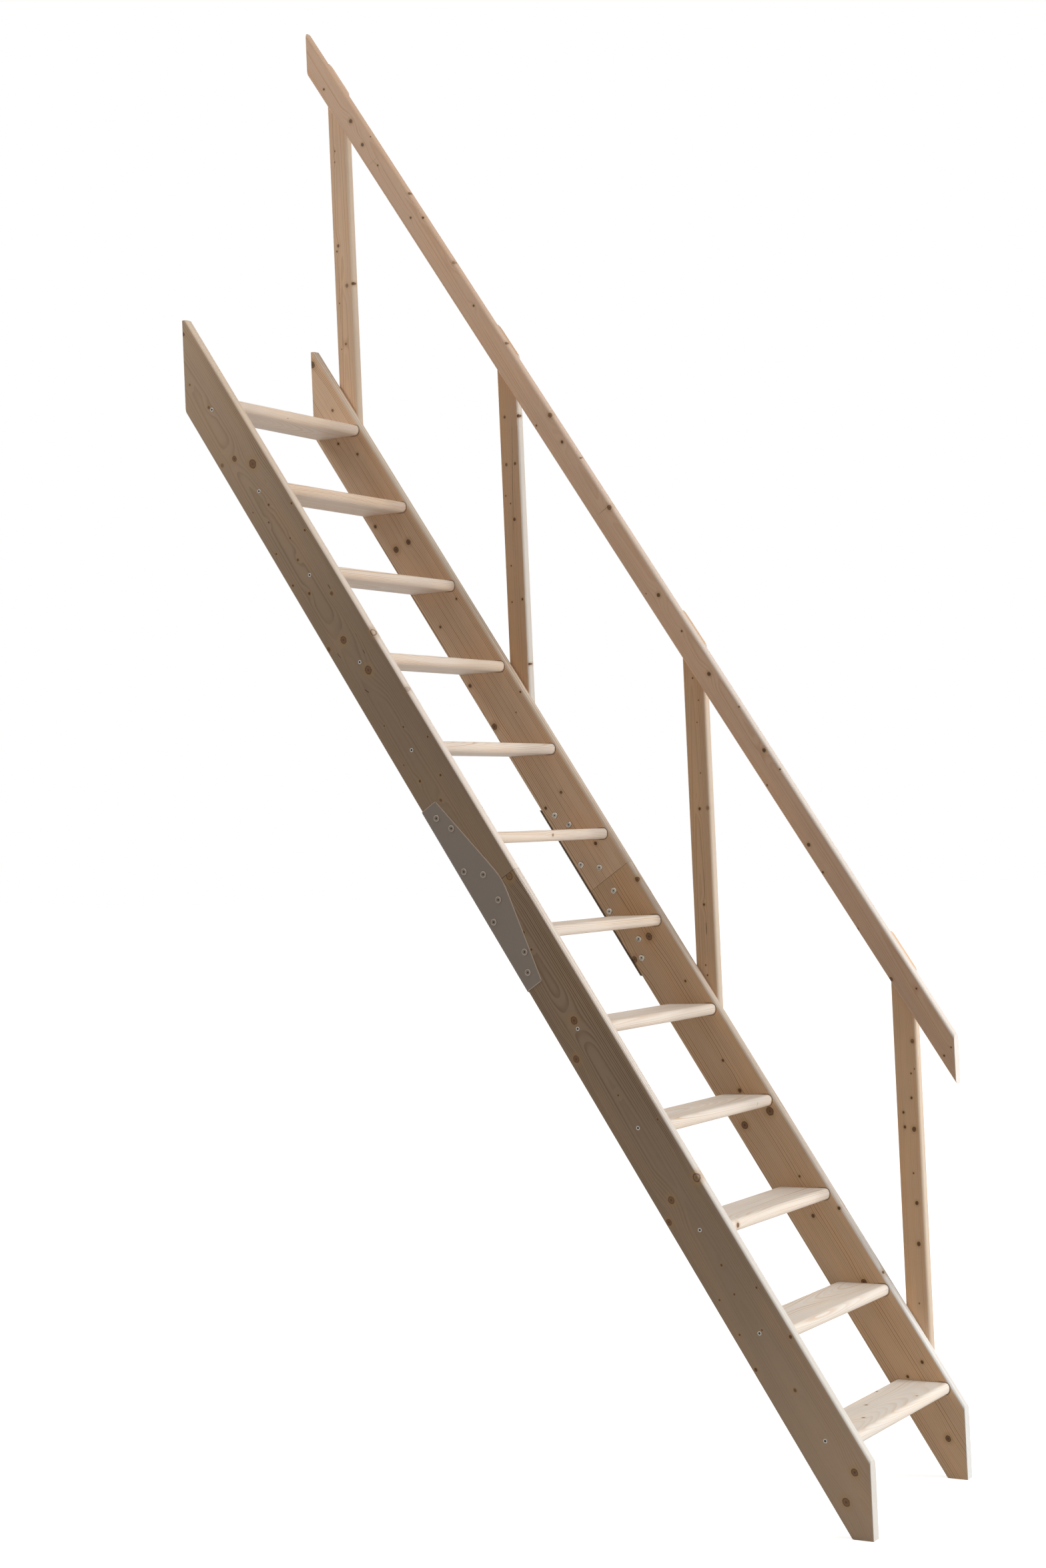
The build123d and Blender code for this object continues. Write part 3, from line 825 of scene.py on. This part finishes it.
# a thin band of painted highlight along the plate's upper and end edges, from its height and length in board
# coordinates
def plateEdgeHighlightMask(tree, place):
    along, height = splitVector(tree, boardSpace(tree, place, slopeTurn, backEdge))[1:]
    away = minus(tree, along, plateCoat["middle"] * mm)
    peak, ends = plateCoat["heights"]
    slope = (peak - ends) / (plateCoat["halfLength"] - plateCoat["endRun"])
    rounded = calc(tree, "SQRT", scaled(tree, away, away, (plateCoat["peakRun"] * mm) ** 2))
    top = most(tree, scaled(tree, rounded, -slope, peak * mm), ends * mm)
    fromTop = band(tree, minus(tree, top, height), plateCoat["edgeHighlightWidth"])
    fromEnd = minus(tree, plateCoat["halfLength"] * mm, calc(tree, "ABSOLUTE", away))
    return most(tree, fromTop, band(tree, fromEnd, plateCoat["edgeHighlightWidth"]))


# a lift above 1 is a painted highlight, one below 1 painted shade
def makePlateCoat(name, lift, edgeHighlighted=False):
    material, tree, shader = newMaterial(name)
    place = objectPlace(tree)
    grit = noise(tree, place, plateCoat["grit"], 1.0, 3.0)
    cloud = noise(tree, place, plateCoat["cloudScale"], 4.0, 3.0)
    shade = times(tree, scaled(tree, cloud, *plateCoat["cloud"]), lift)
    if edgeHighlighted:
        edge = plateEdgeHighlightMask(tree, place)
        shade = times(tree, shade, scaled(tree, edge, plateCoat["edgeHighlightLift"], 1.0))
    tree.links.new(shadeColour(tree, plateCoat["colour"], shade), shader.inputs["Base Color"])
    roughness = scaled(tree, grit, plateCoat["gritRoughness"], plateCoat["roughness"])
    tree.links.new(roughness, shader.inputs["Roughness"])
    addBump(tree, shader, grit)
    return material


plateMaterial = makePlateCoat("plate_coat", 1.0, edgeHighlighted=True)
# the plate coat brightened into a painted highlight on the bolt heads' rims, and darkened into painted shade
# on their sides
boltRimHighlight = makePlateCoat("bolt_rim_painted_highlight", 2.1)
boltSideShade = makePlateCoat("bolt_side_painted_shade", 0.35)
dress("left_joint_plate", plateMaterial)
dress("right_joint_plate", plateMaterial)

zincFlecks = {"scale": 700.0, "seed": 2.0, "detail": 3.0, "shade": (0.2, 0.86), "roughness": (0.2, 0.38)}


def makeZinc(name, zincColour):
    material, tree, shader = newMaterial(name)
    flecks = noise(tree, objectPlace(tree), zincFlecks["scale"], zincFlecks["seed"], zincFlecks["detail"])
    shade = scaled(tree, flecks, *zincFlecks["shade"])
    tree.links.new(shadeColour(tree, zincColour, shade), shader.inputs["Base Color"])
    tree.links.new(scaled(tree, flecks, *zincFlecks["roughness"]), shader.inputs["Roughness"])
    shader.inputs["Metallic"].default_value = 1.0
    return material


nutZinc = makeZinc("nut_zinc", (0.47, 0.42, 0.36, 1))
# painted shade: darker zinc in the dish of the nuts and screws, and on their sides
nutShadedDish = makeZinc("nut_dish_painted_shade", (0.32, 0.28, 0.235, 1))
screwZinc = makeZinc("screw_zinc", (0.43, 0.40, 0.365, 1))
screwShadedDish = makeZinc("screw_dish_painted_shade", (0.10, 0.092, 0.085, 1))

recessShadeTones = {
    "darkestShade": (0.012, 0.011, 0.010, 1), "lighterShade": (0.035, 0.032, 0.030, 1),
    "scale": 900.0, "roughness": 0.7,
}


# painted shade: near black in each driver recess, with a little noise
def makeRecessShade():
    material, tree, shader = newMaterial("recess_shade")
    shadeNoise = noise(tree, objectPlace(tree), recessShadeTones["scale"], 6.0, 2.0)
    tone = blendColour(tree, shadeNoise, recessShadeTones["darkestShade"], recessShadeTones["lighterShade"])
    tree.links.new(tone, shader.inputs["Base Color"])
    shader.inputs["Roughness"].default_value = recessShadeTones["roughness"]
    return material


recessShade = makeRecessShade()
print("plates dressed")


# bolt and screw heads: one node tree turns a list of places into round heads with a driver recess

headShape = {
    "sides": 36, "rings": 12, "shankSides": 12,
    "recessEdge": 0.06,      # half the width of the recess's wall, as a share of the head
    "dishWall": 0.2,         # width of the slope from the rim down to the dish
    "rimRound": 0.05,
    "recessDrop": 0.45,      # how deep each zone lies, as shares of the head's rise
    "dishDrop": 0.36,
    "edgeDrop": 0.62,
    "lobes": 6.0,            # of the driver recess
    "lobeDepth": 0.09,
    "lobeReach": 0.6,
    "dishPaint": 0.12,       # how far inside the rim the dish's own material begins, painted shade on the nuts and screws
}


def makeHeadTree():
    tree = bpy.data.node_groups.new("driverHeads", "GeometryNodeTree")
    sockets = [
        ("Places", "NodeSocketGeometry", None), ("Head Diameter", number, 0.016),
        ("Head Rise", number, 0.0026), ("Stand Off", number, 0.001), ("Side", number, -1.0),
        ("Recess Share", number, 0.25), ("Rim Share", number, 0.75), ("Shank Diameter", number, 0.008),
        ("Shank Length", number, 0.0), ("Seed", "NodeSocketInt", 1), ("Relief", number, 1.0),
        ("Finish", "NodeSocketMaterial", None), ("Dish Colour And Shade", "NodeSocketMaterial", None),
        ("Side Painted Shade", "NodeSocketMaterial", None), ("Recess Painted Shade", "NodeSocketMaterial", None)]
    for label, kind, value in sockets:
        socket = tree.interface.new_socket(name=label, in_out="INPUT", socket_type=kind)
        if value is not None:
            socket.default_value = value
    tree.interface.new_socket(name="Heads", in_out="OUTPUT", socket_type="NodeSocketGeometry")
    add = tree.nodes.new
    link = tree.links.new
    given = add("NodeGroupInput").outputs

    shape, recess, rim = headShape, given["Recess Share"], given["Rim Share"]
    headRadius = times(tree, given["Head Diameter"], 0.5)
    disc = add("GeometryNodeMeshCylinder")
    disc.fill_type = "TRIANGLE_FAN"
    disc.inputs["Vertices"].default_value = shape["sides"]
    disc.inputs["Fill Segments"].default_value = shape["rings"]
    link(headRadius, disc.inputs["Radius"])
    link(given["Head Rise"], disc.inputs["Depth"])

    # the top face follows a turned profile: recess, dished middle, round rim
    x, y, z = splitVector(tree, add("GeometryNodeInputPosition").outputs[0])
    share = over(tree, calc(tree, "SQRT", squares(tree, x, y)), headRadius)
    isTop = calc(tree, "GREATER_THAN", z, 0.0)
    recessOut = plus(tree, recess, shape["recessEdge"])
    deep = ramp(tree, share, recessOut, minus(tree, recess, shape["recessEdge"]))
    dish = ramp(tree, share, rim, minus(tree, rim, shape["dishWall"]))
    edge = ramp(tree, share, plus(tree, rim, shape["rimRound"]), 1.0)
    drop = plus(tree, times(tree, deep, shape["recessDrop"]), times(tree, dish, shape["dishDrop"]))
    drop = plus(tree, drop, times(tree, edge, shape["edgeDrop"]))
    drop = times(tree, times(tree, drop, isTop), times(tree, given["Head Rise"], given["Relief"]))
    lobes = calc(tree, "COSINE", times(tree, calc(tree, "ARCTAN2", y, x), shape["lobes"]))
    rising = ramp(tree, share, 0.0, recess)
    nearRecess = times(tree, rising, ramp(tree, share, shape["lobeReach"], recess))
    spread = times(tree, times(tree, lobes, nearRecess), shape["lobeDepth"])
    shaped = add("GeometryNodeSetPosition")
    link(disc.outputs["Mesh"], shaped.inputs["Geometry"])
    offset = joinVector(tree, times(tree, x, spread), times(tree, y, spread), times(tree, drop, -1.0))
    link(offset, shaped.inputs["Offset"])

    def paint(mesh, finish, selection=None):
        painter = add("GeometryNodeSetMaterial")
        link(mesh, painter.inputs["Geometry"])
        link(given[finish], painter.inputs["Material"])
        if selection is not None:
            link(selection, painter.inputs["Selection"])
        return painter.outputs[0]

    # from the rim inwards each zone of the face has its own material, and so has the side: painted highlight
    # on the bolt heads' rims, painted shade in the recesses, on the sides and in the dish of the nuts and
    # screws
    painted = paint(shaped.outputs[0], "Side Painted Shade")
    painted = paint(painted, "Finish", disc.outputs["Top"])
    inDish = calc(tree, "LESS_THAN", share, minus(tree, rim, shape["dishPaint"]))
    painted = paint(painted, "Dish Colour And Shade", times(tree, inDish, disc.outputs["Top"]))
    inRecess = calc(tree, "LESS_THAN", share, recess)
    painted = paint(painted, "Recess Painted Shade", times(tree, inRecess, disc.outputs["Top"]))

    shank = add("GeometryNodeMeshCylinder")
    shank.inputs["Vertices"].default_value = shape["shankSides"]
    feed(tree, times(tree, given["Shank Diameter"], 0.5), shank.inputs["Radius"])
    link(given["Shank Length"], shank.inputs["Depth"])
    shankPlace = add("GeometryNodeTransform")
    link(shank.outputs["Mesh"], shankPlace.inputs["Geometry"])
    shankDown = times(tree, plus(tree, given["Shank Length"], given["Head Rise"]), -0.5)
    link(joinVector(tree, 0.0, 0.0, shankDown), shankPlace.inputs["Translation"])
    whole = add("GeometryNodeJoinGeometry")
    link(paint(shankPlace.outputs[0], "Finish"), whole.inputs[0])
    link(painted, whole.inputs[0])

    # each head is turned about its own axis, then laid on its side of the board
    spin = add("FunctionNodeRandomValue")
    spin.data_type = "FLOAT"
    link(given["Seed"], spin.inputs["Seed"])
    floats = [socket for socket in spin.inputs if socket.type == "VALUE"]
    floats[0].default_value = 0.0
    floats[1].default_value = 6.283  # a whole turn
    angle = [socket for socket in spin.outputs if socket.type == "VALUE"][0]
    turned = add("FunctionNodeEulerToRotation")
    link(joinVector(tree, 0.0, 0.0, angle), turned.inputs[0])
    laid = add("FunctionNodeEulerToRotation")
    quarter = times(tree, given["Side"], math.pi / 2)
    link(joinVector(tree, 0.0, quarter, 0.0), laid.inputs[0])
    both = add("FunctionNodeRotateRotation")
    both.rotation_space = "LOCAL"
    link(laid.outputs[0], both.inputs[0])
    link(turned.outputs[0], both.inputs[1])
    sit = add("GeometryNodeSetPosition")
    link(given["Places"], sit.inputs["Geometry"])
    outward = times(tree, scaled(tree, given["Head Rise"], 0.5, given["Stand Off"]), given["Side"])
    link(joinVector(tree, outward, 0.0, 0.0), sit.inputs["Offset"])
    spots = add("GeometryNodeMeshToPoints")
    link(sit.outputs[0], spots.inputs[0])
    copies = add("GeometryNodeInstanceOnPoints")
    link(spots.outputs[0], copies.inputs["Points"])
    link(whole.outputs[0], copies.inputs["Instance"])
    link(both.outputs[0], copies.inputs["Rotation"])
    real = add("GeometryNodeRealizeInstances")
    link(copies.outputs[0], real.inputs[0])
    # a last Set Material touches nothing but faces that have none
    done = add("GeometryNodeSetMaterial")
    done.inputs["Selection"].default_value = False
    link(real.outputs[0], done.inputs["Geometry"])
    link(given["Finish"], done.inputs["Material"])
    link(done.outputs[0], add("NodeGroupOutput").inputs[0])
    return tree


headTree = makeHeadTree()


sharpAngle = 40  # degrees, above which an edge of a head shows as an edge


def addToScene(thing):
    bpy.context.scene.collection.objects.link(thing)


# makes one plain mesh of heads at the given places, which rides on the flight
def placeHeads(name, places, inputs, stands=()):
    mesh = bpy.data.meshes.new(name + "_places")
    mesh.from_pydata([tuple(place) for place in places], [], [])
    spots = bpy.data.objects.new(name + "_places", mesh)
    addToScene(spots)
    modifier = spots.modifiers.new("heads", "NODES")
    modifier.node_group = headTree
    names = {item.name: item.identifier for item in headTree.interface.items_tree if item.in_out == "INPUT"}
    for label, value in inputs.items():
        modifier[names[label]] = value
    graph = bpy.context.evaluated_depsgraph_get()
    made = bpy.data.meshes.new_from_object(spots.evaluated_get(graph))
    bpy.data.objects.remove(spots)
    made.name = name
    for polygon in made.polygons:
        polygon.use_smooth = True
    made.set_sharp_from_angle(angle=math.radians(sharpAngle))
    piece = bpy.data.objects.new(name, made)
    addToScene(piece)
    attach(piece, "root")
    if stands:
        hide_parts(*stands)
    return piece


plateBolts = {
    "joint": 1718.0,         # station of the joint; each pair is so far from it and from the lower edge
    "pairs": ((226.0, 29.0), (181.0, 50.0), (74.0, 19.0), (37.0, 61.0)),
    "headDiameter": 16.8,
    "headRise": 2.5,
    "headShare": 0.27,       # how much of the head, and of the nut, the driver recess takes
    "nutShare": 0.21,
    "rimShare": 0.78,
    "shankDiameter": 8.0,
    "headShank": 0.5,        # the rest of the shank is the nut's sleeve
    "boardThickness": 28.0,
    "plateThickness": 2.0,
}


def boltPlaces(x):
    spots = []
    for away, height in plateBolts["pairs"]:
        for side in (-1, 1):
            spot = onSlope(backEdge, plateBolts["joint"] + side * away, height)
            spots.append((x, spot.y, spot.z))
    return spots


def makeBolts():
    grip = (plateBolts["boardThickness"] + plateBolts["plateThickness"]) * mm
    shared = {
        "Head Diameter": plateBolts["headDiameter"] * mm,
        "Head Rise": plateBolts["headRise"] * mm,
        "Shank Diameter": plateBolts["shankDiameter"] * mm,
        "Recess Share": plateBolts["headShare"],
        "Rim Share": plateBolts["rimShare"],
        "Stand Off": 0.0,
        "Recess Painted Shade": recessShade,
    }
    for side, outward in (("left", leftFace), ("right", rightFace)):
        low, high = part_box(side + "_stringer_lower")
        outerX = (low.x if outward < 0 else high.x) + outward * plateBolts["plateThickness"] * mm
        innerX = high.x if outward < 0 else low.x
        # bolt heads: painted highlight on the rim, plate coat in the dish, painted shade on the side; nuts:
        # painted shade in the dish and on the side
        head = {"Side": outward, "Finish": boltRimHighlight, "Dish Colour And Shade": plateMaterial, "Side Painted Shade": boltSideShade,
                "Shank Length": plateBolts["headShank"] * mm, "Seed": 3}
        nut = {"Side": -outward, "Finish": nutZinc, "Dish Colour And Shade": nutShadedDish, "Side Painted Shade": screwShadedDish,
               "Recess Share": plateBolts["nutShare"], "Shank Length": grip, "Seed": 7}
        replaced = (side + "_plate_bolts",)
        placeHeads(side + "_bolt_heads", boltPlaces(outerX), dict(shared, **head), replaced)
        placeHeads(side + "_sleeve_nuts", boltPlaces(innerX), dict(shared, **nut), replaced)


makeBolts()
print("plate bolts made")

woodScrews = {
    "headDiameter": 9.6,
    "headProud": 0.3,
    "recessShare": 0.45,
    "rimShare": 0.8,
    "shankDiameter": 3.4,
    "shankLength": 12.0,
    "postHeadProud": 0.02,
    "postHeadRise": 0.1,     # the post screws lie flat in the wood
    "postRelief": 0.1,
    "behindNose": 75.0,      # from a tread's nose, on the right
    "hiddenByPlate": (6, 7),  # the treads whose screws are under the joint plate
    "left": (                # on the left: station up the board and height above its lower edge
        (208.6, 70.8), (485.2, 67.2), (754.0, 71.4), (1030.6, 69.0), (1307.8, 66.0),
        (2125.0, 65.4), (2396.0, 66.6), (2669.0, 70.8), (2943.0, 69.0), (3212.0, 72.6),
    ),
    "besideCentre": 50.0,    # post screws, up and down from the stringer's centre line
    "besideRail": 22.0,      # rail screws, up and down from the rail's centre line
}


def leftTreadScrews():
    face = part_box("left_stringer_lower")[0].x
    spots = [onSlope(backEdge, station, height) for station, height in woodScrews["left"]]
    return [(face, spot.y, spot.z) for spot in spots]


def rightTreadScrews():
    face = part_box("right_stringer_lower")[1].x
    spots = []
    for tread in range(1, treadCount + 1):
        if tread in woodScrews["hiddenByPlate"]:
            continue
        low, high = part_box("tread_%02d" % tread)
        spots.append((face, low.y + woodScrews["behindNose"] * mm, (low.z + high.z) / 2))
    return spots


def postScrews():
    stringerCentre = sum(reaches("right_stringer_lower")) / 2
    railCentre = sum(reaches("handrail")) / 2
    spots = []
    rows = ((stringerCentre, woodScrews["besideCentre"]), (railCentre, woodScrews["besideRail"]))
    for name in postBoards:
        low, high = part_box(name)
        y = (low.y + high.y) / 2
        for centre, away in rows:
            z = (centre + y * math.sin(pitch)) / math.cos(pitch)
            spots += [(high.x, y, z - away * mm), (high.x, y, z + away * mm)]
    return spots


def makeScrews():
    shared = {
        "Head Diameter": woodScrews["headDiameter"] * mm,
        "Head Rise": woodScrews["headProud"] * mm,
        "Shank Diameter": woodScrews["shankDiameter"] * mm,
        "Shank Length": woodScrews["shankLength"] * mm,
        "Recess Share": woodScrews["recessShare"],
        "Rim Share": woodScrews["rimShare"],
        "Stand Off": 0.0,
        "Finish": screwZinc,
        # screws: painted shade in the dish, on the side and in the recess
        "Dish Colour And Shade": screwShadedDish,
        "Side Painted Shade": screwShadedDish,
        "Recess Painted Shade": recessShade,
    }
    left = dict(shared, **{"Side": leftFace, "Seed": 11})
    right = dict(shared, **{"Side": rightFace, "Seed": 12})
    sunk = (woodScrews["postHeadProud"] - woodScrews["postHeadRise"]) * mm
    post = dict(shared, **{"Side": rightFace, "Seed": 13, "Relief": woodScrews["postRelief"],
                           "Head Rise": woodScrews["postHeadRise"] * mm, "Stand Off": sunk})
    placeHeads("left_tread_screws", leftTreadScrews(), left)
    placeHeads("right_tread_screws", rightTreadScrews(), right)
    placeHeads("post_screws", postScrews(), post)


makeScrews()
print("wood screws made")


# stage, lights and camera

measuredFrom = 0.1654  # how far before the back edge's line the foot of the flight is taken to be


# a place given from the foot of the flight: across from its middle, forward, and up from the floor
def fromFloor(x, y, z):
    return Vector((middleX + x, backEdge.y - measuredFrom + y, floorLevel + z))


floorLook = {
    "size": 60.0,
    "colour": (0.5, 0.5, 0.5, 1),
    "roughness": 0.9,
    "gloss": 0.1,
    "fadeAbout": (0.0, 0.2, 0.0),
    "fade": (0.3, 1.6, 0.79, 1.0),  # only the shadow near the foot stays
}
studioLight = {"colour": (1.0, 0.88, 0.78, 1), "strength": 0.25}
white = (1, 1, 1, 1)


# 1 where the camera, or a reflection, looks straight at the surface
def seenByCamera(tree):
    light = tree.nodes.new("ShaderNodeLightPath")
    return plus(tree, light.outputs["Is Camera Ray"], light.outputs["Is Glossy Ray"], clamp=True), light


def makeFloor():
    size = floorLook["size"]
    mesh = bpy.data.meshes.new("floor")
    corners = [(x, y, floorLevel) for x, y in ((-size, -size), (size, -size), (size, size), (-size, size))]
    mesh.from_pydata(corners, [], [(0, 1, 2, 3)])
    floor = bpy.data.objects.new("floor", mesh)
    addToScene(floor)
    material, tree, shader = newMaterial("pale_floor")
    shader.inputs["Base Color"].default_value = floorLook["colour"]
    shader.inputs["Roughness"].default_value = floorLook["roughness"]
    shader.inputs["Specular IOR Level"].default_value = floorLook["gloss"]
    glow = tree.nodes.new("ShaderNodeEmission")
    glow.inputs["Color"].default_value = white
    seen = seenByCamera(tree)[0]
    away = tree.nodes.new("ShaderNodeVectorMath")
    away.operation = "DISTANCE"
    tree.links.new(objectPlace(tree), away.inputs[0])
    away.inputs[1].default_value = fromFloor(*floorLook["fadeAbout"])
    fade = ramp(tree, away.outputs["Value"], *floorLook["fade"])
    feed(tree, times(tree, seen, fade), glow.inputs["Strength"])
    both = tree.nodes.new("ShaderNodeAddShader")
    tree.links.new(shader.outputs[0], both.inputs[0])
    tree.links.new(glow.outputs[0], both.inputs[1])
    tree.links.new(both.outputs[0], tree.nodes["Material Output"].inputs["Surface"])
    mesh.materials.append(material)


def makeWorld():
    world = bpy.data.worlds.new("studio")
    world.use_nodes = True
    tree = world.node_tree
    back = tree.nodes["Background"]
    seen, light = seenByCamera(tree)
    seen = plus(tree, seen, light.outputs["Is Transmission Ray"], clamp=True)
    feed(tree, blendColour(tree, seen, studioLight["colour"], white), back.inputs["Color"])
    feed(tree, ramp(tree, seen, 0.0, 1.0, studioLight["strength"], 1.0), back.inputs["Strength"])
    bpy.context.scene.world = world


lamps = {
    "key": {"at": (1.2, -3.8, 2.0), "aim": (0.0, 0.6, 1.0), "size": 2.6, "watts": 162},
    "top": {"at": (0.3, -2.0, 14.0), "aim": (0.0, 0.8, 1.2), "size": 7.0, "watts": 450},
    "back": {"at": (2.6, 4.6, 3.4), "aim": (0.0, 1.6, 2.6), "size": 2.4, "watts": 40},
    "landing": {"at": (-1.5, 2.6, 3.9), "aim": (0.0, 1.8, 3.2), "size": 1.0, "watts": 12},
    "foot": {"at": (-1.3, -0.9, 0.35), "aim": (-0.2, 0.2, 0.2), "size": 0.8, "watts": 2.2},
}


def makeLamps():
    for name, lamp in lamps.items():
        data = bpy.data.lights.new(name, "AREA")
        data.shape = "DISK"
        data.size = lamp["size"]
        data.energy = lamp["watts"]
        place = fromFloor(*lamp["at"])
        aim = fromFloor(*lamp["aim"]) - place
        thing = bpy.data.objects.new(name, data)
        thing.matrix_world = Matrix.Translation(place) @ aim.to_track_quat("-Z", "Y").to_matrix().to_4x4()
        thing.visible_camera = False
        addToScene(thing)


view = {
    "place": (-5.4469, -2.1760, 1.5843),  # from the foot of the flight
    "turn": -58.856,                      # degrees
    "tilt": -1.364,
    "roll": -2.515,
    "lens": 57.334,
    "sensor": 36.0,
    "farthest": 300.0,
}


def makeCamera():
    turn, tilt, roll = (math.radians(view[key]) for key in ("turn", "tilt", "roll"))
    ahead = -Vector((math.sin(turn) * math.cos(tilt), -math.cos(turn) * math.cos(tilt), math.sin(tilt)))
    right = ahead.cross(Vector((0, 0, 1))).normalized()
    up = right.cross(ahead)
    rightRolled = right * math.cos(roll) + up * math.sin(roll)
    upRolled = up * math.cos(roll) - right * math.sin(roll)
    data = bpy.data.cameras.new("view")
    data.sensor_width = view["sensor"]
    data.lens = view["lens"]
    data.clip_end = view["farthest"]
    camera = bpy.data.objects.new("view", data)
    turned = Matrix((rightRolled, upRolled, -ahead)).transposed().to_4x4()
    camera.matrix_world = Matrix.Translation(fromFloor(*view["place"])) @ turned
    addToScene(camera)
    bpy.context.scene.camera = camera


makeFloor()
makeWorld()
makeLamps()
makeCamera()
bpy.context.scene.view_settings.view_transform = "Standard"
print("stage set")
